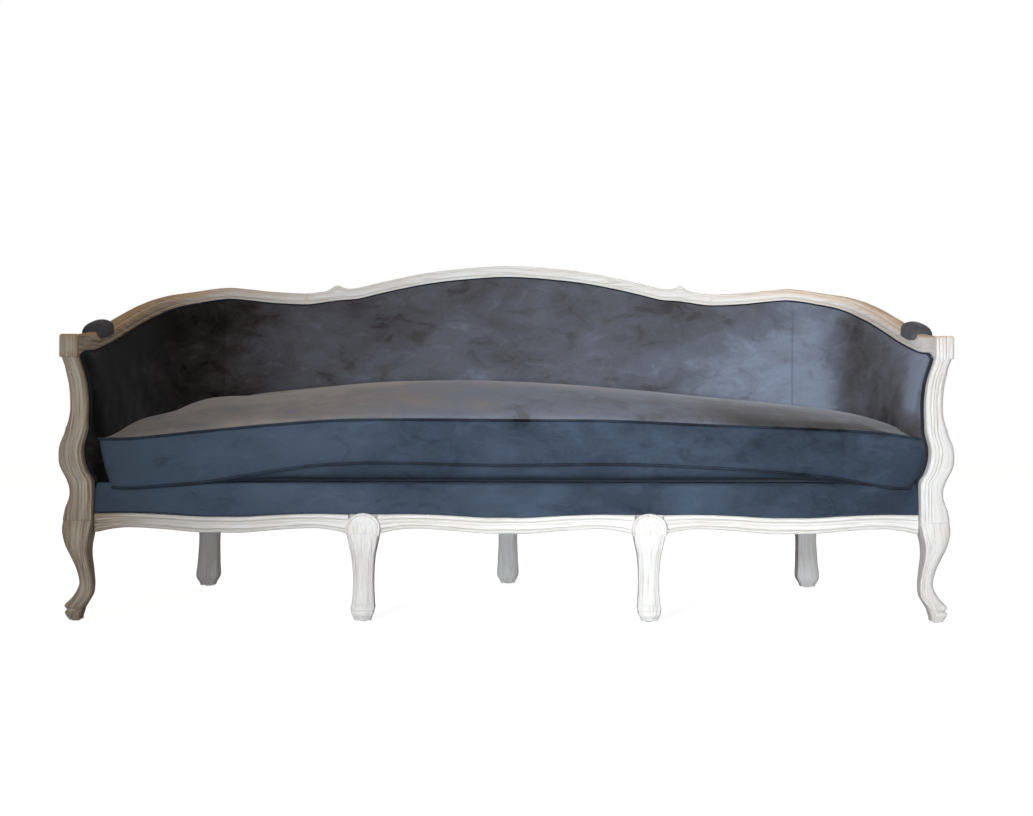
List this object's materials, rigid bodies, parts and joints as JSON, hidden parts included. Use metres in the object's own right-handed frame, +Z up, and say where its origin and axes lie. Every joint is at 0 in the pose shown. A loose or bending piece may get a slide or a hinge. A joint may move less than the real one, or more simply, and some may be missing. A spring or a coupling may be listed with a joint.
{
  "type": "cabriole sofa",
  "caption": "Long basket sofa with a pale oak show frame on cabriole legs, velvet covers, small arm pads and one long loose seat cushion that lifts out.",
  "frame": {"origin": "on the floor under the centre of the sofa's box", "axes": "+X along the seat, to the right as seen from the front; -Y towards the front; +Z up"},
  "size_m": [2.202, 0.86, 0.96],
  "materials": {
    "show_wood": "limed oak, matt, with honey wood showing on worn edges",
    "frame_wood": "plain beech, sawn",
    "velvet": "slate blue cotton velvet with a brushed nap",
    "jute": "woven jute",
    "dust_cloth": "black spunbond",
    "glide_steel": "nickel plated"
  },
  "bodies": {
    "frame": {"arm_pad_left": "velvet", "arm_pad_right": "velvet", "arm_post_left": "show_wood", "arm_post_right": "show_wood", "arm_rail_left": "show_wood", "arm_rail_right": "show_wood", "arm_stay_rail_left": "frame_wood", "arm_stay_rail_right": "frame_wood", "back_corner_block_left": "frame_wood", "back_corner_block_right": "frame_wood", "back_glide_centre": "glide_steel", "back_glide_left": "glide_steel", "back_glide_right": "glide_steel", "back_leg_centre": "show_wood", "back_leg_left": "show_wood", "back_leg_right": "show_wood", "back_rail": "frame_wood", "back_stay_rail": "frame_wood", "back_stile_left": "frame_wood", "back_stile_right": "frame_wood", "back_strut_left": "frame_wood", "back_strut_right": "frame_wood", "crest_rail": "show_wood", "dust_cover": "dust_cloth", "front_corner_block_left": "frame_wood", "front_corner_block_right": "frame_wood", "front_glide_left": "glide_steel", "front_glide_right": "glide_steel", "front_leg_left": "show_wood", "front_leg_right": "show_wood", "front_rail_centre": "show_wood", "front_rail_left": "show_wood", "front_rail_right": "show_wood", "inside_arm_left": "velvet", "inside_arm_right": "velvet", "inside_back": "velvet", "mid_glide_left": "glide_steel", "mid_glide_right": "glide_steel", "mid_leg_left": "show_wood", "mid_leg_right": "show_wood", "outside_arm_left": "velvet", "outside_arm_right": "velvet", "outside_back": "velvet", "seat_burlap": "jute", "seat_deck": "velvet", "seat_stretcher_left": "frame_wood", "seat_stretcher_right": "frame_wood", "seat_webbing": "jute", "shoulder_rail_left": "show_wood", "shoulder_rail_right": "show_wood", "side_rail_left": "frame_wood", "side_rail_right": "frame_wood"},
    "cushion": {"seat_cushion": "velvet"}
  },
  "joints": [
    {"name": "cushion_lift", "type": "slide", "parent": "frame", "child": "cushion", "axis": [0, 0, 1], "range_m": [0, 0.65]}
  ]
}
